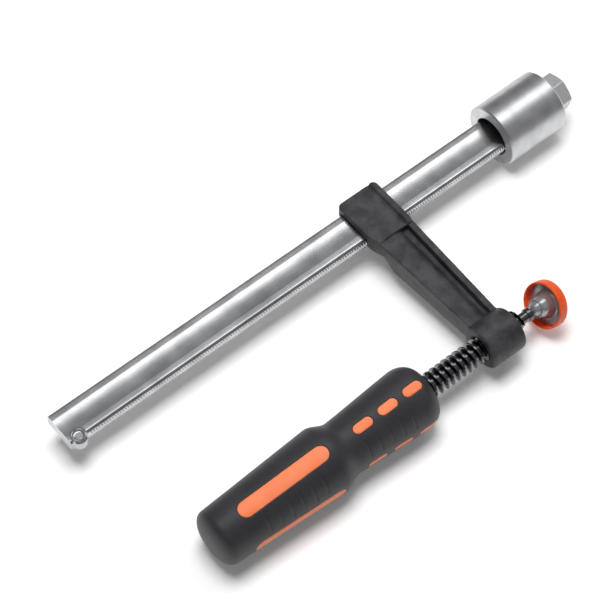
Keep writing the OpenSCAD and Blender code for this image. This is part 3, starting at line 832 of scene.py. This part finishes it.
dress(bar_piece(), steel_bar)
dress(spindle_piece(), black_steel)
dress(grip_piece(), rubber)
dress(core_piece(), orange)
dress(arm_piece(), casting)
dress(plate_piece(), plated)
dress(ring_piece(), plated)
dress(cap_piece(), cap_plastic)
dress(tip_piece(), black_steel)
dress(ball_piece(), plated)
dress(bolt_piece(), steel_bolt)
dress(nodes["table_bush"], steel_bush)
dress(nodes["grub_screw"], black_steel)


# Floor, light and camera, in metres

FLOOR_HALF = 1.5
FLOOR_GAP = 0.0002
SENSOR_W = 36
PHOTO_SIDE_PX = 600
PHOTO_FOCAL_PX = 2756.25
CAMERA_AZIMUTH = math.radians(-39.238)
CAMERA_ELEVATION = math.radians(58.0)
CAMERA_DISTANCE = 1.11687
CAMERA_TARGET = Vector((-0.12869, -0.01197, 0.0))
CAMERA_NEAR, CAMERA_FAR = 0.05, 20


def seen_share(tree, unseen, seen):
    """A strength with one value for scattered light, and another for what the eye, metal and glass see."""
    ray = add(tree, "ShaderNodeLightPath").outputs
    looked_at = ray["Is Camera Ray"]
    for kind in ("Is Glossy Ray", "Is Transmission Ray"):
        either = add(tree, "ShaderNodeMath", {0: looked_at, 1: ray[kind]}, operation="MAXIMUM")
        looked_at = either.outputs["Value"]
    share = add(tree, "ShaderNodeMapRange", {"Value": looked_at}, To_Min=unseen, To_Max=seen)
    return share.outputs["Result"]


def white_paper():
    # Matt white paper: a little glow for what the eye and the metal see keeps the shadow close to the clamp.
    material, tree, shader = surface(
        "white_paper", Base_Color=linear("#FFFFFF"), Roughness=0.9, Specular_IOR_Level=0.0,
        Emission_Color=linear("#FFFFFF"))
    feed(tree, shader, {"Emission Strength": seen_share(tree, 0.0, 0.13)})
    return material


def white_floor(height):
    """Square of paper under the clamp."""
    sides = (-FLOOR_HALF, FLOOR_HALF)
    mesh = bpy.data.meshes.new("floor")
    mesh.from_pydata([(x, y, height) for x in sides for y in sides], [], [(0, 2, 3, 1)])
    floor = bpy.data.objects.new("floor", mesh)
    bpy.context.scene.collection.objects.link(floor)
    dress(floor, white_paper())


def area_lamp(name, at, aim, size, power, glossy=True):
    """A rectangular lamp whose first side lies along the bar."""
    light = bpy.data.lights.new(name, "AREA")
    light.shape = "RECTANGLE"
    light.size, light.size_y = size
    light.energy = power
    lamp = bpy.data.objects.new(name, light)
    bpy.context.scene.collection.objects.link(lamp)
    lamp.location = at
    back = (Vector(at) - Vector(aim)).normalized()
    across = (Vector((1, 0, 0)) - back * back.x).normalized()
    lamp.rotation_mode = "QUATERNION"
    lamp.rotation_quaternion = Matrix((across, back.cross(across), back)).transposed().to_quaternion()
    lamp.visible_glossy = glossy


def studio_world():
    """Grey room that is darker towards the floor."""
    world = bpy.data.worlds.new("studio")
    bpy.context.scene.world = world
    world.use_nodes = True
    tree = world.node_tree
    direction = add(tree, "ShaderNodeTexCoord")
    parts = add(tree, "ShaderNodeSeparateXYZ", {"Vector": direction.outputs["Generated"]})
    grey = add(tree, "ShaderNodeValToRGB", {"Fac": parts.outputs["Z"]},
               stops=((0.0, "#686868"), (1.0, "#A6A6A6")))
    strength = seen_share(tree, 0.3, 1.0)
    feed(tree, tree.nodes["Background"], {"Color": grey.outputs["Color"], "Strength": strength})


def photo_camera():
    """Camera at the photograph's viewing angle."""
    lens = bpy.data.cameras.new("camera")
    lens.sensor_width = SENSOR_W
    lens.lens = SENSOR_W * PHOTO_FOCAL_PX / PHOTO_SIDE_PX
    lens.clip_start, lens.clip_end = CAMERA_NEAR, CAMERA_FAR
    camera = bpy.data.objects.new("camera", lens)
    bpy.context.scene.collection.objects.link(camera)
    level = math.cos(CAMERA_ELEVATION)
    back = Vector((
        math.sin(CAMERA_AZIMUTH) * level, -math.cos(CAMERA_AZIMUTH) * level, math.sin(CAMERA_ELEVATION)))
    camera.location = CAMERA_TARGET + back * CAMERA_DISTANCE
    camera.rotation_mode = "QUATERNION"
    camera.rotation_quaternion = (-back).to_track_quat("-Z", "Y")
    bpy.context.scene.camera = camera


bpy.context.view_layer.update()
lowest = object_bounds()[0][2]
white_floor(lowest - FLOOR_GAP)
area_lamp("overhead_softbox", at=(0.2, 0.12, 0.95), aim=(-0.1, 0.0, 0.0), size=(1.2, 0.44), power=3.8)
area_lamp("ceiling", at=(-0.15, 0.1, 1.5), aim=(-0.1, 0.0, 0.0), size=(0.7, 0.7), power=15, glossy=False)
area_lamp("back_key", at=(-0.3, 0.8, 1.0), aim=(-0.13, -0.03, 0.0), size=(0.6, 0.6), power=0.8, glossy=False)
studio_world()
photo_camera()
bpy.context.scene.view_settings.view_transform = "Standard"

bpy.context.view_layer.update()
